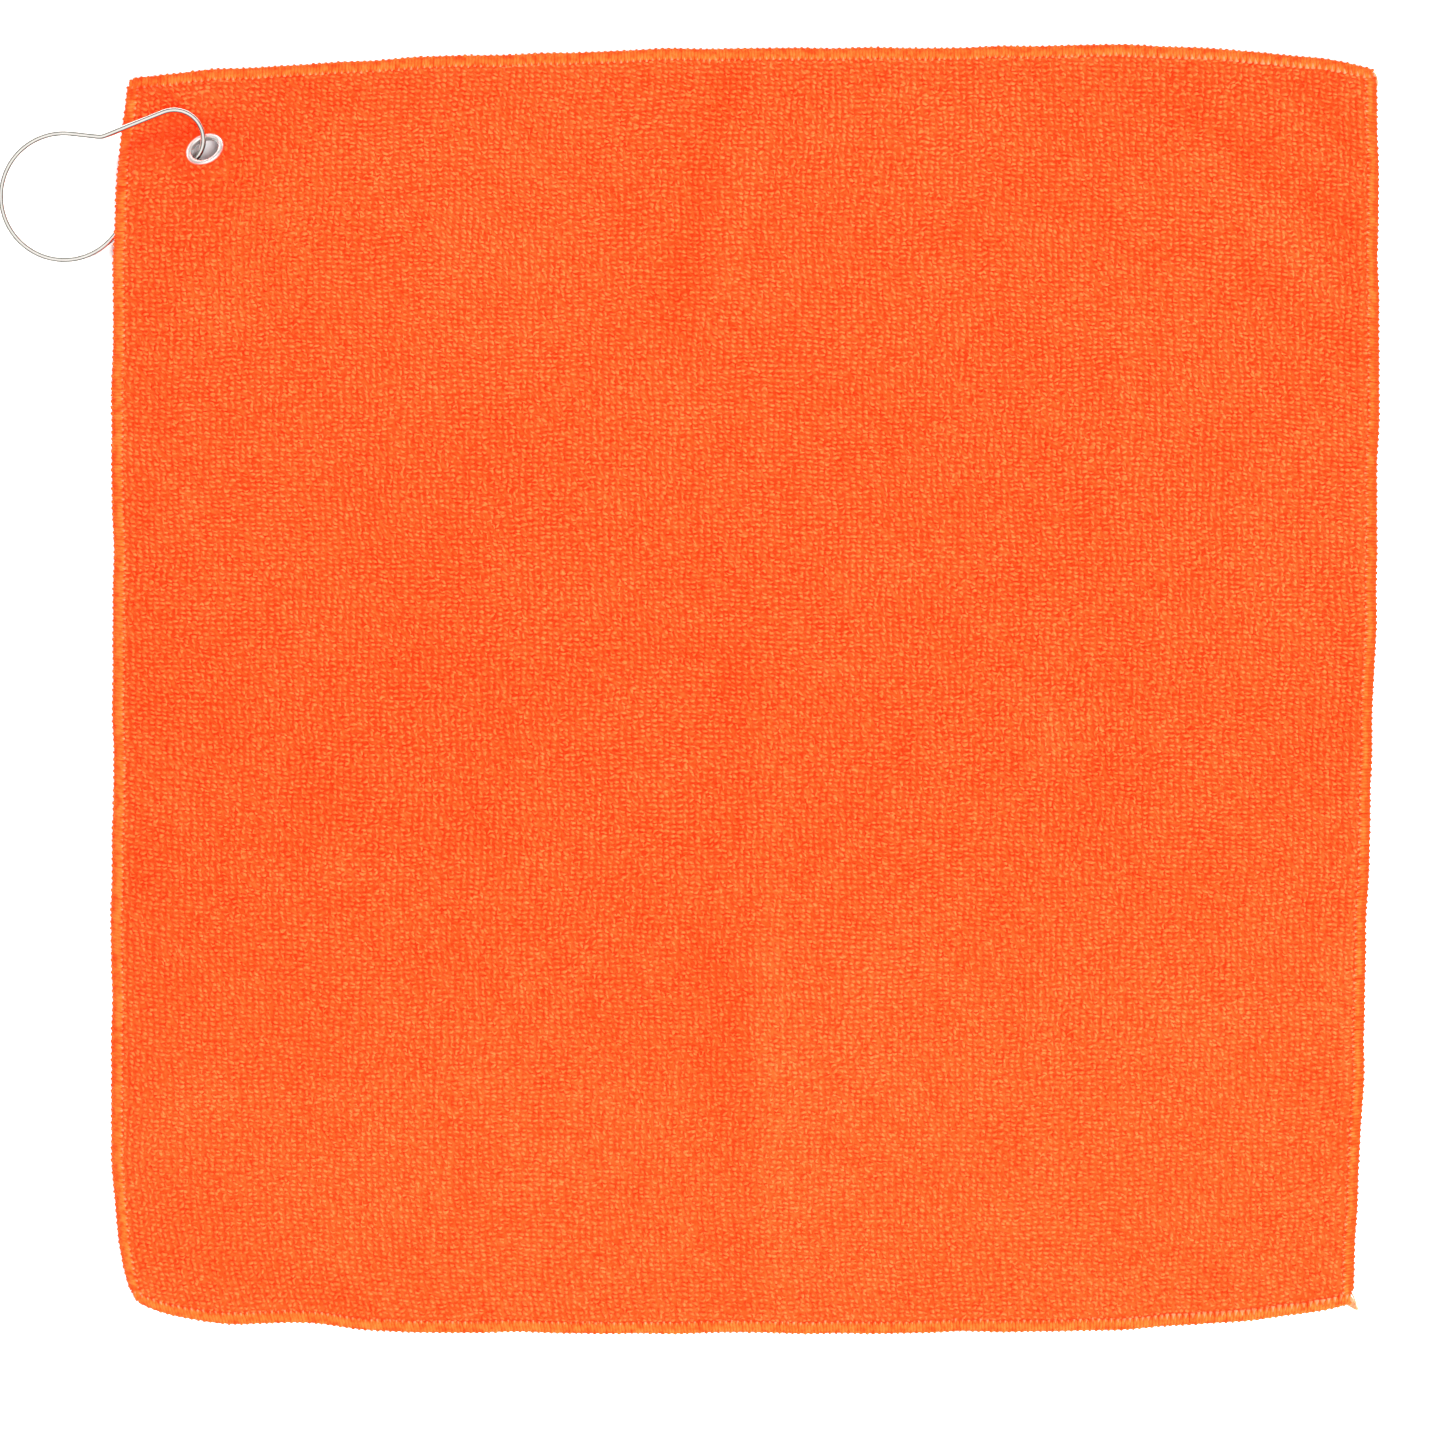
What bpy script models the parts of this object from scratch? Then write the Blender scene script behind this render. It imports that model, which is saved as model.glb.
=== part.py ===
"""Quick dry towel: square terry cloth, four overlocked edges, corner eyelet and spring wire clip.

Lengths below are millimetres in the towel's own plane; place() and SCALE turn them into metres.
The towel lies on its underside on z = 0, centred on the origin, with the clip at its upper left.
"""

import bmesh
import bpy
import math
from mathutils import Matrix, Vector

SCALE = 0.001

# Outline: four corners, how far each edge bows out between them and how soon it rises from
# either end, and one shallow dent on each edge: its depth, place and width.
TOP_LEFT = Vector((-184.1, 182.7))
TOP_RIGHT = Vector((188.5, 185.1))
BOTTOM_LEFT = Vector((-181.7, -181.8))
BOTTOM_RIGHT = Vector((181.4, -182.7))
TOP_BOW = (9.19, 0.25, 0.089)
BOTTOM_BOW = (9.62, 0.05, 0.106)
LEFT_BOW = (6.85, 0.039, 0.142)
RIGHT_BOW = (4.13, 0.23, 0.214)
TOP_DENT = (0.93, 0.63, 0.068)
BOTTOM_DENT = (2.03, 0.14, 0.053)
LEFT_DENT = (1.39, 0.53, 0.24)
RIGHT_DENT = (0.65, 0.34, 0.149)
WIDTH = 370.0
HEIGHT = 368.0

# Cloth and its overlocked hem, measured inwards from the outer edge.
CLOTH_THICKNESS = 2.4
CLOTH_INSET = 0.9
SHELF_INSET = 4.7
FULL_INSET = 5.4
SHELF_SHARE = 1.0 / 3.0
BAND_WIDTH = 3.6
BAND_THICKNESS = 0.4
BAND_LEVEL = 0.9
LIP_LEVEL = 0.15
NEEDLE_INSET = 4.15
NEEDLE_RADIUS = 0.25
SIDE_MARGIN = 4.7

# Grid lines: (start, end, step) zones drawn closer together round the lifted corner.
COARSE_STEP = 24.0
COLUMN_ZONES = [(0.0, 14.0, 4.0), (14.0, 38.0, 2.0), (38.0, 74.0, 6.0)]
ROW_ZONES = [(268.0, 332.0, 4.0), (332.0, 356.0, 2.0), (356.0, 368.0, 4.0)]

# Eyelet: where its hole is and how its face leans.
EYELET_CENTRE = Vector((-160.49, 160.99, 7.96))
EYELET_LEAN = math.radians(42.0)
EYELET_LEAN_TOWARDS = math.radians(116.9)
EYELET_BORE = 4.25
EYELET_WALL = 0.35
EYELET_RIM = 5.85
EYELET_HALF = 0.95
FLANGE_THICKNESS = 0.4
EYELET_GAP = 0.3
CLAMP_SHARE = 0.25

# Clip: pear-shaped loop of round spring wire lying in one leaning plane.
WIRE_RADIUS = 0.85
RING_CENTRE = Vector((-202.69, 147.21))
RING_RADIUS = 18.8
CLIP_HEADING = math.radians(27.3)
CLIP_RISE_ALONG = 0.0817
CLIP_RISE_ACROSS = 0.1486
SHOULDER = Vector((18.08, 10.57))
NOSE_CENTRE = 37.11
NOSE_RADIUS = 8.66
JOINT_GAP = 0.25


def make_material(name, colour, metallic, roughness):
    """One plain Principled material."""
    material = bpy.data.materials.new(name)
    material.use_nodes = True
    shader = material.node_tree.nodes["Principled BSDF"]
    shader.inputs["Base Color"].default_value = (*colour, 1.0)
    shader.inputs["Metallic"].default_value = metallic
    shader.inputs["Roughness"].default_value = roughness
    return material


def ease(value):
    """Smooth step from 0 to 1."""
    value = min(max(value, 0.0), 1.0)
    return value * value * (3.0 - 2.0 * value)


def bow(share, shape, dent):
    """How far an edge bows out at a share of its length."""
    depth, start, end = shape
    dent_depth, dent_share, dent_width = dent
    out = depth * (1.0 - math.exp(-share / start)) * (1.0 - math.exp(-(1.0 - share) / end))
    return out - dent_depth * math.exp(-((share - dent_share) / dent_width) ** 2)


def edge_point(start, end, share, shape, dent, outward):
    """Point on one bowed edge."""
    point = start.lerp(end, share)
    return point + outward * bow(share, shape, dent)


def place(across, up):
    """Point of the towel's plane from its distances to the left and bottom edges."""
    s = across / WIDTH
    t = up / HEIGHT
    inside_s = min(max(s, 0.0), 1.0)
    inside_t = min(max(t, 0.0), 1.0)
    x_way = Vector((1.0, 0.0))
    y_way = Vector((0.0, 1.0))
    left = edge_point(BOTTOM_LEFT, TOP_LEFT, inside_t, LEFT_BOW, LEFT_DENT, -x_way)
    right = edge_point(BOTTOM_RIGHT, TOP_RIGHT, inside_t, RIGHT_BOW, RIGHT_DENT, x_way)
    bottom = edge_point(BOTTOM_LEFT, BOTTOM_RIGHT, inside_s, BOTTOM_BOW, BOTTOM_DENT, -y_way)
    top = edge_point(TOP_LEFT, TOP_RIGHT, inside_s, TOP_BOW, TOP_DENT, y_way)
    corners = BOTTOM_LEFT.lerp(BOTTOM_RIGHT, s).lerp(TOP_LEFT.lerp(TOP_RIGHT, s), t)
    return left.lerp(right, s) + bottom.lerp(top, t) - corners


def lean_normal():
    """Direction the eyelet's front face looks."""
    return Vector((
        math.cos(EYELET_LEAN_TOWARDS) * math.sin(EYELET_LEAN),
        math.sin(EYELET_LEAN_TOWARDS) * math.sin(EYELET_LEAN),
        math.cos(EYELET_LEAN),
    ))


def eyelet_distance(x, y):
    """Distance from the hole's centre, measured in the eyelet's leaning plane."""
    offset = Vector((x, y)) - EYELET_CENTRE.xy
    downhill = Vector((math.cos(EYELET_LEAN_TOWARDS), math.sin(EYELET_LEAN_TOWARDS)))
    fall = offset.dot(downhill)
    level = offset.length_squared - fall * fall
    return math.sqrt(max(level, 0.0) + (fall / math.cos(EYELET_LEAN)) ** 2)


def middle_height(x, y):
    """Height of the cloth's middle surface: flat, but lifted by the clip's wire near the eyelet."""
    flat = CLOTH_THICKNESS / 2.0
    offset = Vector((x, y)) - EYELET_CENTRE.xy
    reach = offset.length
    turn = math.degrees(math.atan2(offset.y, offset.x)) % 360.0
    if turn < 90.0:
        turn += 360.0
    start = 160.0 + 18.0 * ease((reach - 14.0) / 14.0)
    raised = ease((turn - start) / (205.0 - start)) * (1.0 - ease((turn - 300.0) / 130.0))
    plateau = 42.0 - 32.0 * ease((turn - 245.0) / 55.0)
    tent = max(9.0 - 0.11 * reach, 0.0) * (1.0 - ease((reach - plateau) / 35.0))
    droop = 1.5 * math.exp(-reach / 20.0) * (1.0 - ease((reach - 30.0) / 45.0))
    far = flat + raised * tent + (1.0 - raised) * droop
    normal = lean_normal()
    near = EYELET_CENTRE.z - (normal.x * offset.x + normal.y * offset.y) / normal.z
    away = ease((eyelet_distance(x, y) - 7.0) / 7.0)
    return max(near * (1.0 - away) + far * away, flat)


def crowded(length, zones):
    """Distances along an edge, closer together inside each zone (start, end, step)."""
    marks = [0.0]
    while marks[-1] < length:
        here = marks[-1]
        target = here + COARSE_STEP
        for start, end, step in zones:
            if start <= here < end:
                target = here + step
            elif here < start:
                target = min(target, start)
        marks.append(min(target, length))
    return marks


def grid_marks(length, zones):
    """Grid lines of the cloth, with the hem's step kept sharp at both edges."""
    inner = crowded(length, zones)
    middle = [m for m in inner if FULL_INSET + 1.0 < m < length - FULL_INSET - 1.0]
    near = [CLOTH_INSET, SHELF_INSET, FULL_INSET]
    return near + middle + [length - m for m in reversed(near)]


def new_object(name, mesh, material):
    """Link a mesh object and give it its material."""
    item = bpy.data.objects.new(name, mesh)
    bpy.context.scene.collection.objects.link(item)
    item.data.materials.append(material)
    return item


def smooth_faces(mesh):
    """Shade every face smooth."""
    for face in mesh.polygons:
        face.use_smooth = True


def apply_modifiers(item):
    """Replace an object's mesh with its evaluated one."""
    graph = bpy.context.evaluated_depsgraph_get()
    mesh = bpy.data.meshes.new_from_object(item.evaluated_get(graph))
    item.modifiers.clear()
    item.data = mesh


def eyelet_frame():
    """Frame with its Z along the eyelet's axis."""
    turn = lean_normal().to_track_quat("Z", "Y").to_matrix().to_4x4()
    return Matrix.Translation(EYELET_CENTRE * SCALE) @ turn


def make_cloth(material, cutters):
    """Terry cloth: one sheet, thin along its hem and under the eyelet's flange."""
    columns = grid_marks(WIDTH, COLUMN_ZONES)
    rows = grid_marks(HEIGHT, ROW_ZONES)
    sheet = bmesh.new()
    weights = sheet.verts.layers.deform.verify()
    lines = []
    for up in rows:
        line = []
        for across in columns:
            spot = place(across, up)
            height = middle_height(spot.x, spot.y)
            vertex = sheet.verts.new(Vector((spot.x, spot.y, height)) * SCALE)
            inset = min(across, up, WIDTH - across, HEIGHT - up)
            share = 1.0 if inset > SHELF_INSET + 0.01 else SHELF_SHARE
            clamp = ease((eyelet_distance(spot.x, spot.y) - 8.4) / 3.5)
            vertex[weights][0] = min(share, CLAMP_SHARE + (1.0 - CLAMP_SHARE) * clamp)
            line.append(vertex)
        lines.append(line)
    for lower, upper in zip(lines, lines[1:]):
        for i in range(len(lower) - 1):
            sheet.faces.new((lower[i], lower[i + 1], upper[i + 1], upper[i]))
    mesh = bpy.data.meshes.new("towel_cloth")
    sheet.to_mesh(mesh)
    sheet.free()
    cloth = new_object("towel_cloth", mesh, material)
    cloth.vertex_groups.new(name="pile")
    shell = cloth.modifiers.new("Pile", "SOLIDIFY")
    shell.thickness = CLOTH_THICKNESS * SCALE
    shell.offset = 0.0
    shell.vertex_group = "pile"
    apply_modifiers(cloth)
    bpy.ops.mesh.primitive_cylinder_add(
        vertices=40, radius=(EYELET_BORE + EYELET_WALL + EYELET_GAP) * SCALE, depth=9.0 * SCALE)
    cutter = bpy.context.object
    cutter.name = "eyelet_hole_cutter"
    cutter.matrix_world = eyelet_frame()
    for group in list(cutter.users_collection):
        group.objects.unlink(cutter)
    cutters.objects.link(cutter)
    cutter.hide_render = True
    cutter.display_type = "WIRE"
    hole = cloth.modifiers.new("Eyelet hole", "BOOLEAN")
    hole.operation = "DIFFERENCE"
    hole.solver = "EXACT"
    hole.object = cutter
    apply_modifiers(cloth)
    smooth_faces(cloth.data)
    return cloth


def on_edge(edge, along, inset):
    """Point of the plane at a distance along one edge and a distance in from it."""
    if edge == "top":
        return place(along, HEIGHT - inset)
    if edge == "bottom":
        return place(along, inset)
    if edge == "left":
        return place(inset, along)
    return place(WIDTH - inset, along)


def edge_stations(edge):
    """Distances along an edge where its threads are drawn, matching the cloth's grid lines."""
    if edge in ("top", "bottom"):
        return crowded(WIDTH, COLUMN_ZONES)
    marks = crowded(HEIGHT, ROW_ZONES)
    inner = [m for m in marks if SIDE_MARGIN + 1.0 < m < HEIGHT - SIDE_MARGIN - 1.0]
    return [SIDE_MARGIN] + inner + [HEIGHT - SIDE_MARGIN]


def hem_point(edge, along, inset, level):
    """Point of the hem: a level above or below the middle of the lifted cloth edge."""
    spot = on_edge(edge, along, inset)
    height = middle_height(spot.x, spot.y) + level
    return Vector((spot.x, spot.y, height)) * SCALE


def make_band(name, edge, side, material):
    """Looper thread band: a ribbon over one face of the hem with a lip round its edge."""
    profile = [
        (BAND_WIDTH, side * BAND_LEVEL),
        (BAND_THICKNESS / 2.0, side * BAND_LEVEL),
        (BAND_THICKNESS / 2.0, side * LIP_LEVEL),
    ]
    ribbon = bmesh.new()
    lines = []
    for along in edge_stations(edge):
        lines.append([ribbon.verts.new(hem_point(edge, along, *spot)) for spot in profile])
    for first, second in zip(lines, lines[1:]):
        for i in range(len(profile) - 1):
            ribbon.faces.new((first[i], first[i + 1], second[i + 1], second[i]))
    bmesh.ops.recalc_face_normals(ribbon, faces=ribbon.faces)
    mesh = bpy.data.meshes.new(name)
    ribbon.to_mesh(mesh)
    ribbon.free()
    band = new_object(name, mesh, material)
    shell = band.modifiers.new("Thread", "SOLIDIFY")
    shell.thickness = BAND_THICKNESS * SCALE
    shell.offset = 0.0
    shell.use_even_offset = True
    return band


def make_wire(name, points, radius, material, origin):
    """Round wire or thread through a list of points, with capped ends."""
    curve = bpy.data.curves.new(name, "CURVE")
    curve.dimensions = "3D"
    curve.bevel_depth = radius * SCALE
    curve.bevel_resolution = 2
    curve.use_fill_caps = True
    curve.twist_mode = "MINIMUM"
    spline = curve.splines.new("POLY")
    spline.points.add(len(points) - 1)
    for spot, point in zip(spline.points, points):
        spot.co = (*(point - origin), 1.0)
    wire = bpy.data.objects.new(name, curve)
    wire.location = origin
    wire.data.materials.append(material)
    bpy.context.scene.collection.objects.link(wire)
    return wire


def make_needle_thread(name, edge, material):
    """Needle thread: one line of stitching inside the looper bands."""
    level = SHELF_SHARE * CLOTH_THICKNESS / 2.0 + 0.3 + NEEDLE_RADIUS
    marks = edge_stations(edge)
    points = [hem_point(edge, along, NEEDLE_INSET, level) for along in marks]
    thread = make_wire(name, points, NEEDLE_RADIUS, material, Vector((0.0, 0.0, 0.0)))
    thread.data.bevel_resolution = 0
    return thread


def turned(name, profile, steps, material):
    """Ring turned round the eyelet's axis from a closed profile at +X."""
    mesh = bpy.data.meshes.new(name)
    count = len(profile)
    edges = [(i, (i + 1) % count) for i in range(count)]
    mesh.from_pydata([(r * SCALE, 0.0, z * SCALE) for r, z in profile], edges, [])
    ring = new_object(name, mesh, material)
    screw = ring.modifiers.new("Turn", "SCREW")
    screw.angle = math.tau
    screw.steps = steps
    screw.render_steps = steps
    screw.use_merge_vertices = True
    screw.merge_threshold = 0.00001
    screw.use_normal_calculate = True
    apply_modifiers(ring)
    smooth_faces(ring.data)
    ring.matrix_world = eyelet_frame()
    return ring


def make_eyelet(material):
    """Eyelet: barrel through the cloth with a rolled flange on the front."""
    outer = EYELET_BORE + EYELET_WALL
    top = EYELET_HALF
    under = EYELET_HALF - FLANGE_THICKNESS
    profile = [
        (EYELET_BORE, top - 0.25),
        (EYELET_BORE + 0.25, top),
        (EYELET_RIM - 0.3, top),
        (EYELET_RIM, top - 0.2),
        (EYELET_RIM, under),
        (outer, under),
        (outer, -EYELET_HALF),
        (EYELET_BORE, -EYELET_HALF),
    ]
    return turned("grommet_eyelet", profile, 48, material)


def make_washer(material):
    """Washer clamped on the back of the cloth."""
    inner = EYELET_BORE + EYELET_WALL + EYELET_GAP
    top = -EYELET_HALF + FLANGE_THICKNESS
    profile = [
        (inner, top),
        (inner, -EYELET_HALF),
        (EYELET_RIM - 0.15, -EYELET_HALF),
        (EYELET_RIM, -EYELET_HALF + 0.15),
        (EYELET_RIM, top),
    ]
    return turned("grommet_washer", profile, 48, material)


def clip_axes():
    """Directions of the clip's plane: along it, across it and out of it."""
    heading = Vector((math.cos(CLIP_HEADING), math.sin(CLIP_HEADING)))
    along = Vector((heading.x, heading.y, CLIP_RISE_ALONG))
    across = Vector((-heading.y, heading.x, CLIP_RISE_ACROSS))
    return along, across, along.cross(across).normalized()


def clip_point(along, across, out=0.0):
    """World point, in metres, of a point of the clip's plane."""
    axis_along, axis_across, axis_out = clip_axes()
    lean = math.hypot(CLIP_RISE_ALONG, CLIP_RISE_ACROSS)
    height = WIRE_RADIUS + RING_RADIUS * lean
    centre = Vector((RING_CENTRE.x, RING_CENTRE.y, height))
    return (centre + axis_along * along + axis_across * across + axis_out * out) * SCALE


def arc(centre, radius, start, end, count):
    """Points of an arc in the clip's plane, angles in degrees."""
    spots = []
    for i in range(count + 1):
        angle = math.radians(start + (end - start) * i / count)
        spots.append(Vector((centre + radius * math.cos(angle), radius * math.sin(angle), 0.0)))
    return spots


def rounded(points, size):
    """Replace each corner of a line by a short curve."""
    spots = [points[0]]
    for before, corner, after in zip(points, points[1:], points[2:]):
        first = corner + (before - corner).normalized() * min(size, (before - corner).length / 2.2)
        last = corner + (after - corner).normalized() * min(size, (after - corner).length / 2.2)
        for i in range(4):
            t = i / 3.0
            spots.append(first * (1 - t) ** 2 + corner * 2 * t * (1 - t) + last * t * t)
    spots.append(points[-1])
    return spots


def strand_touch():
    """Where the straight strand meets the nose, and the strand's angle there."""
    reach = Vector((NOSE_CENTRE, 0.0)) - SHOULDER
    heading = math.atan2(reach.y, reach.x) + math.asin(NOSE_RADIUS / reach.length)
    return math.degrees(heading) + 90.0


def make_clip_wire(material, pivot):
    """Clip: catch, ring, front strand and nose bent from one wire."""
    touch = strand_touch()
    leave = math.degrees(math.atan2(SHOULDER.y, SHOULDER.x))
    leave += math.degrees(math.acos(RING_RADIUS / SHOULDER.length))
    guard = Vector((18.6, -12.9, 0.0))
    catch_leave = math.degrees(math.atan2(-guard.y, guard.x))
    catch_leave += math.degrees(math.acos(RING_RADIUS / guard.length))
    catch = rounded([
        Vector((20.3, -9.4, -2.2)),
        Vector((20.0, -12.3, -2.2)),
        Vector((19.9, -12.6, -0.3)),
        guard,
        arc(0.0, RING_RADIUS, -catch_leave, -catch_leave, 1)[0],
    ], 1.3)[:-1]
    ring = arc(0.0, RING_RADIUS, 360.0 - catch_leave, leave, 40)
    shoulder = rounded([ring[-1], Vector((*SHOULDER, 0.0)), arc(
        NOSE_CENTRE, NOSE_RADIUS, touch, touch, 1)[0]], 2.2)[1:-1]
    nose = arc(NOSE_CENTRE, NOSE_RADIUS, touch, -touch + JOINT_GAP / NOSE_RADIUS * 57.3, 22)
    line = [clip_point(*spot) for spot in catch + ring + shoulder + nose]
    return make_wire("clip_wire", line, WIRE_RADIUS, material, pivot)


def make_clip_gate(material, hinge):
    """Gate: the back strand, sprung outwards so its tip sits in the catch."""
    start = clip_gate_foot()
    tip = Vector((16.6, -SHOULDER.y - 0.25, 0.0))
    first = start + (tip - start).normalized() * JOINT_GAP
    line = [clip_point(*spot) for spot in (first, first.lerp(tip, 0.5), tip)]
    return make_wire("clip_gate", line, WIRE_RADIUS, material, hinge)


def clip_gate_foot():
    """Point of the clip's plane where the nose ends and the gate begins."""
    return arc(NOSE_CENTRE, NOSE_RADIUS, -strand_touch(), -strand_touch(), 1)[0]


def make_tails(material):
    """Loose ends of the overlocking chain at the two right-hand corners."""
    low = [place(WIDTH, 2.0) + Vector((0.9 + 0.9 * i, -0.45 * i)) for i in range(4)]
    high = [place(WIDTH, HEIGHT - 5.0 - 1.2 * i) + Vector((0.85 + 0.2 * (i % 2), 0.0)) for i in range(4)]
    origin = Vector((0.0, 0.0, 0.0))
    for name, spots in (("thread_tail_bottom_right", low), ("thread_tail_top_right", high)):
        points = [Vector((p.x, p.y, 0.9)) * SCALE for p in spots]
        make_wire(name, points, 0.4, material, origin)


def main():
    for item in list(bpy.data.objects):
        bpy.data.objects.remove(item, do_unlink=True)
    terry = make_material("terry_cloth", (0.99, 0.145, 0.03), 0.0, 0.95)
    thread = make_material("hem_thread", (1.0, 0.22, 0.03), 0.0, 0.7)
    needle = make_material("needle_thread", (1.0, 0.42, 0.2), 0.0, 0.6)
    nickel = make_material("nickel_plate", (0.75, 0.76, 0.78), 1.0, 0.12)
    steel = make_material("spring_wire", (0.7, 0.71, 0.74), 1.0, 0.15)
    cutters = bpy.data.collections.new("cutters")
    bpy.context.scene.collection.children.link(cutters)
    make_cloth(terry, cutters)
    for edge in ("top", "bottom", "left", "right"):
        make_band(edge + "_upper_looper_thread", edge, 1.0, thread)
        make_band(edge + "_lower_looper_thread", edge, -1.0, thread)
        make_needle_thread(edge + "_needle_thread", edge, needle)
    make_tails(thread)
    make_eyelet(nickel)
    make_washer(nickel)
    make_clip_wire(steel, EYELET_CENTRE * SCALE)
    make_clip_gate(steel, clip_point(*clip_gate_foot()))


main()
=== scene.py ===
import bpy
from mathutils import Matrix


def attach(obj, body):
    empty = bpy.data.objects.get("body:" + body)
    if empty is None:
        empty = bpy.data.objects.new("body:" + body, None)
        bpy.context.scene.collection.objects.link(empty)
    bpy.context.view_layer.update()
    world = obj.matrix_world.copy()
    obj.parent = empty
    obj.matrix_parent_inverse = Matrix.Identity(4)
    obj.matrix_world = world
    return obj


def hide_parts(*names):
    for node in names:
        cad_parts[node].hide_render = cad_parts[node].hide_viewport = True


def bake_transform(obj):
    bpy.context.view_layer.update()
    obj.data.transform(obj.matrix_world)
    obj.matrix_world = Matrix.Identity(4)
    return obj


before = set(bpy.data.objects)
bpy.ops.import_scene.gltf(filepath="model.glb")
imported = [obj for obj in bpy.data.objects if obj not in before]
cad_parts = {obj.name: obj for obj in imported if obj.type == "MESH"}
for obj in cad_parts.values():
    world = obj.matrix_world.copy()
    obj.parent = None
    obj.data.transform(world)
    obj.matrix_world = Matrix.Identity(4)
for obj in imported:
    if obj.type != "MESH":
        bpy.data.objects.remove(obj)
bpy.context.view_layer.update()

import bpy
import math
import numpy as np
from mathutils import Matrix, Vector

# Shapes are in millimetres in the towel's frame until MM turns them into metres. The towel lies on z = 0,
# with the clip at its upper left. Lights and camera are in metres.
MM = 0.001
RNG = np.random.default_rng(20)

# ---------------------------------------------------------------- cloth outline and height

# Four corners; how each edge bows out between them: depth, and the shares of the edge over which it rises
# and falls; and each edge's shallow dent: depth, place and width.
TOP_LEFT = np.array([-184.1, 182.7])
TOP_RIGHT = np.array([188.5, 185.1])
BOTTOM_LEFT = np.array([-181.7, -181.8])
BOTTOM_RIGHT = np.array([181.4, -182.7])
TOP_BOW = (9.19, 0.25, 0.089)
BOTTOM_BOW = (9.62, 0.05, 0.106)
LEFT_BOW = (6.85, 0.039, 0.142)
RIGHT_BOW = (4.13, 0.23, 0.214)
TOP_DENT = (0.93, 0.63, 0.068)
BOTTOM_DENT = (2.03, 0.14, 0.053)
LEFT_DENT = (1.39, 0.53, 0.24)
RIGHT_DENT = (0.65, 0.34, 0.149)
WIDTH = 370.0
HEIGHT = 368.0
CLOTH_THICKNESS = 2.4

EYELET_CENTRE = np.array([-160.49, 160.99, 7.96])
EYELET_LEAN = math.radians(42.0)
EYELET_LEAN_TOWARDS = math.radians(116.9)
EYELET_NORMAL = np.array([
    math.cos(EYELET_LEAN_TOWARDS) * math.sin(EYELET_LEAN),
    math.sin(EYELET_LEAN_TOWARDS) * math.sin(EYELET_LEAN),
    math.cos(EYELET_LEAN),
])


def ease(value):
    """Smooth step from 0 to 1."""
    value = np.clip(value, 0.0, 1.0)
    return value * value * (3.0 - 2.0 * value)


def bow(share, shape, dent):
    """How far an edge bows out at a share of its length."""
    depth, start, end = shape
    dent_depth, dent_share, dent_width = dent
    out = depth * (1.0 - np.exp(-share / start)) * (1.0 - np.exp(-(1.0 - share) / end))
    return out - dent_depth * np.exp(-((share - dent_share) / dent_width) ** 2)


def waver(along, seed):
    """Small unevenness of a sewn edge."""
    a, b, c = np.random.default_rng(seed).uniform(0.0, 6.28, 3)
    slow = 0.20 * np.sin(along / 11.0 + a) + 0.12 * np.sin(along / 5.3 + b)
    return slow + 0.06 * np.sin(along / 3.1 + c) - 0.15


def place(across, up):
    """Points of the towel's plane from distances to the left and bottom edges."""
    across = np.asarray(across, float)
    up = np.asarray(up, float)
    s = (across / WIDTH)[..., None]
    t = (up / HEIGHT)[..., None]
    si = np.clip(s, 0.0, 1.0)
    ti = np.clip(t, 0.0, 1.0)
    x_way = np.array([1.0, 0.0])
    y_way = np.array([0.0, 1.0])
    left = BOTTOM_LEFT + (TOP_LEFT - BOTTOM_LEFT) * ti
    left = left - x_way * (bow(ti, LEFT_BOW, LEFT_DENT) + waver(ti * HEIGHT, 1))
    right = BOTTOM_RIGHT + (TOP_RIGHT - BOTTOM_RIGHT) * ti
    right = right + x_way * (bow(ti, RIGHT_BOW, RIGHT_DENT) + waver(ti * HEIGHT, 2))
    bottom = BOTTOM_LEFT + (BOTTOM_RIGHT - BOTTOM_LEFT) * si
    bottom = bottom - y_way * (bow(si, BOTTOM_BOW, BOTTOM_DENT) + waver(si * WIDTH, 3))
    top = TOP_LEFT + (TOP_RIGHT - TOP_LEFT) * si
    top = top + y_way * (bow(si, TOP_BOW, TOP_DENT) + waver(si * WIDTH, 4))
    low = BOTTOM_LEFT + (BOTTOM_RIGHT - BOTTOM_LEFT) * s
    high = TOP_LEFT + (TOP_RIGHT - TOP_LEFT) * s
    return left * (1 - s) + right * s + bottom * (1 - t) + top * t - (low * (1 - t) + high * t)


def eyelet_distance(x, y):
    """Distance from the hole's centre, measured in the eyelet's leaning plane."""
    dx = x - EYELET_CENTRE[0]
    dy = y - EYELET_CENTRE[1]
    fall = dx * math.cos(EYELET_LEAN_TOWARDS) + dy * math.sin(EYELET_LEAN_TOWARDS)
    level = dx * dx + dy * dy - fall * fall
    return np.sqrt(np.maximum(level, 0.0) + (fall / math.cos(EYELET_LEAN)) ** 2)


def crease(x, y, start, end, height, width, fade):
    """A soft ridge (or valley, when height is negative) along a line, fading out at its ends."""
    start = np.array(start, float)
    way = np.array(end, float) - start
    length = np.linalg.norm(way)
    way = way / length
    along = (x - start[0]) * way[0] + (y - start[1]) * way[1]
    off = (x - start[0]) * -way[1] + (y - start[1]) * way[0]
    off = off - 1.6 * np.sin(along / 23.0 + start[0])
    ends = ease(along / fade + 0.5) * ease((length - along) / fade + 0.5)
    return height * ends * np.exp(-((off / width) ** 2))


# Fold marks: start, end, height, width, fade.
FOLDS = (
    ((3.5, 30.0), (4.0, -190.0), 0.9, 7.0, 18.0),
    ((0.0, 186.0), (-21.0, 131.0), -0.8, 5.0, 18.0),
    ((-120.0, 93.0), (190.0, 93.0), 0.4, 6.5, 18.0),
    ((-186.0, -116.0), (-25.0, -116.0), 0.8, 6.5, 18.0),
    ((132.0, 176.0), (183.0, 137.0), 0.9, 4.5, 10.0),
    ((166.0, 180.0), (187.0, 161.0), 0.8, 4.0, 8.0),
    ((-168.0, -176.0), (-118.0, -182.0), -0.7, 5.0, 12.0),
)


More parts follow.
